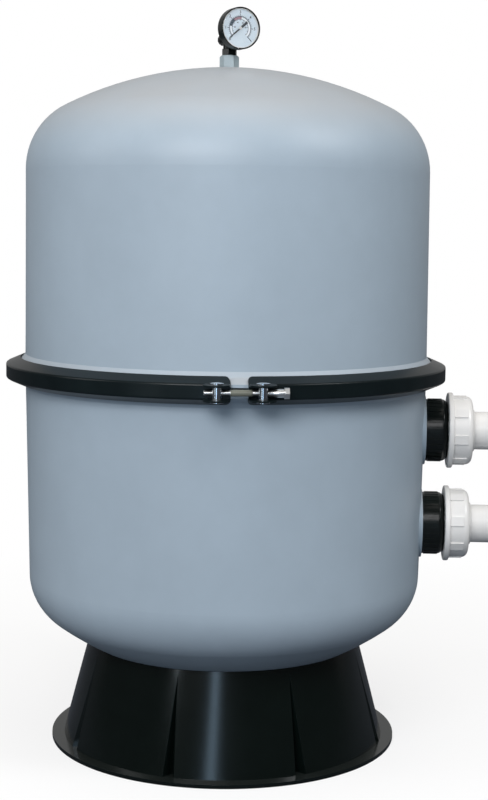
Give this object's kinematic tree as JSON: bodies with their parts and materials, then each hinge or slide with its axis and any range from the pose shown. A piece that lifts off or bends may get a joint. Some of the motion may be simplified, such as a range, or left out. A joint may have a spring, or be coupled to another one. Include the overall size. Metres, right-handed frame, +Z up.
{
  "type": "sand filter",
  "caption": "Side-mount pool sand filter: dished two-part tank with a clamp band, bell-shaped stand, crown pressure gauge and side unions.",
  "frame": {"origin": "centre of the stand's foot ring on the floor, under the tank axis", "axes": "+Z up along the tank axis, +X out along the pipe connections, -Y towards the clamp closure's side"},
  "size_m": [0.682, 0.6051, 0.9632],
  "materials": {
    "tank_plastic": "fine matt moulded skin",
    "adapter_plastic": "satin moulded",
    "black_plastic": "satin to gloss moulded",
    "band_coating": "satin black coating",
    "chrome": "bright plated",
    "zinc_steel": "bright zinc plated",
    "sleeve_plastic": "translucent tube",
    "rubber": "black rubber",
    "white_plastic": "glossy white",
    "inner_pipe": "pale grey pipe",
    "brass": "machined",
    "dial_face": "white enamel",
    "pointer_paint": "black paint",
    "lens": "clear"
  },
  "bodies": {
    "filter": {"upper_shell": "tank_plastic", "lower_shell": "tank_plastic", "gauge_adapter": "adapter_plastic", "base_stand": "black_plastic", "gauge_tee": "black_plastic", "gauge_case": "black_plastic", "drain_fitting": "black_plastic", "drain_nut": "black_plastic", "inlet_wall_coupling": "black_plastic", "inlet_tank_fitting": "black_plastic", "outlet_wall_coupling": "black_plastic", "outlet_tank_fitting": "black_plastic", "clamp_band": "band_coating", "left_clamp_lug": "band_coating", "right_clamp_lug": "band_coating", "left_trunnion_pin": "chrome", "right_trunnion_pin": "chrome", "bolt_spacer": "zinc_steel", "bolt_sleeve": "sleeve_plastic", "flange_gasket": "rubber", "adapter_seal": "rubber", "bleed_ring": "rubber", "drain_gasket": "rubber", "drain_ring": "rubber", "inlet_wall_gasket": "rubber", "inlet_union_ring": "rubber", "outlet_wall_gasket": "rubber", "outlet_union_ring": "rubber", "inlet_union_tail": "white_plastic", "inlet_pipe": "white_plastic", "outlet_union_tail": "white_plastic", "outlet_pipe": "white_plastic", "riser_pipe": "inner_pipe", "down_pipe": "inner_pipe", "diffuser": "inner_pipe", "lateral_hub": "inner_pipe", "drain_screen": "inner_pipe", "inlet_cross_pipe": "inner_pipe", "inlet_elbow": "inner_pipe", "outlet_cross_pipe": "inner_pipe", "outlet_elbow": "inner_pipe", "lateral_1": "inner_pipe", "lateral_2": "inner_pipe", "lateral_3": "inner_pipe", "lateral_4": "inner_pipe", "lateral_5": "inner_pipe", "lateral_6": "inner_pipe", "lateral_7": "inner_pipe", "lateral_8": "inner_pipe", "gauge_stem": "brass", "bourdon_tube": "brass", "gauge_movement": "brass", "gauge_dial": "dial_face", "gauge_lens": "lens"},
    "gauge_hand": {"gauge_pointer": "pointer_paint"},
    "bleed_screw": {"bleed_screw": "black_plastic"},
    "closure_bolt": {"clamp_bolt": "zinc_steel"},
    "inlet_nut": {"inlet_union_nut": "white_plastic"},
    "outlet_nut": {"outlet_union_nut": "white_plastic"},
    "drain_cap": {"drain_cap": "black_plastic"}
  },
  "joints": [
    {"name": "pointer_turn", "type": "hinge", "parent": "filter", "child": "gauge_hand", "pos_m": [0.01482, -0.02847, 0.93648], "axis": [-0.4617, 0.887, 0], "range_deg": [0, 265]},
    {"name": "bleed_turn", "type": "hinge", "parent": "filter", "child": "bleed_screw", "pos_m": [-0.00554, 0.01064, 0.92668], "axis": [-0.4617, 0.887, 0], "range_deg": [0, 720]},
    {"name": "bolt_turn", "type": "hinge", "parent": "filter", "child": "closure_bolt", "pos_m": [0.03425, -0.29602, 0.495], "axis": [0.9934, 0.1149, 0], "range_deg": [0, 3600]},
    {"name": "inlet_union_turn", "type": "hinge", "parent": "filter", "child": "inlet_nut", "pos_m": [0.31294, 0, 0.418], "axis": [1, 0, 0], "range_deg": [0, 1080]},
    {"name": "outlet_union_turn", "type": "hinge", "parent": "filter", "child": "outlet_nut", "pos_m": [0.31093, 0, 0.293], "axis": [1, 0, 0], "range_deg": [0, 1080]},
    {"name": "drain_cap_turn", "type": "hinge", "parent": "filter", "child": "drain_cap", "pos_m": [0, 0.27727, 0.252], "axis": [0, 1, 0], "range_deg": [0, 1080]}
  ]
}
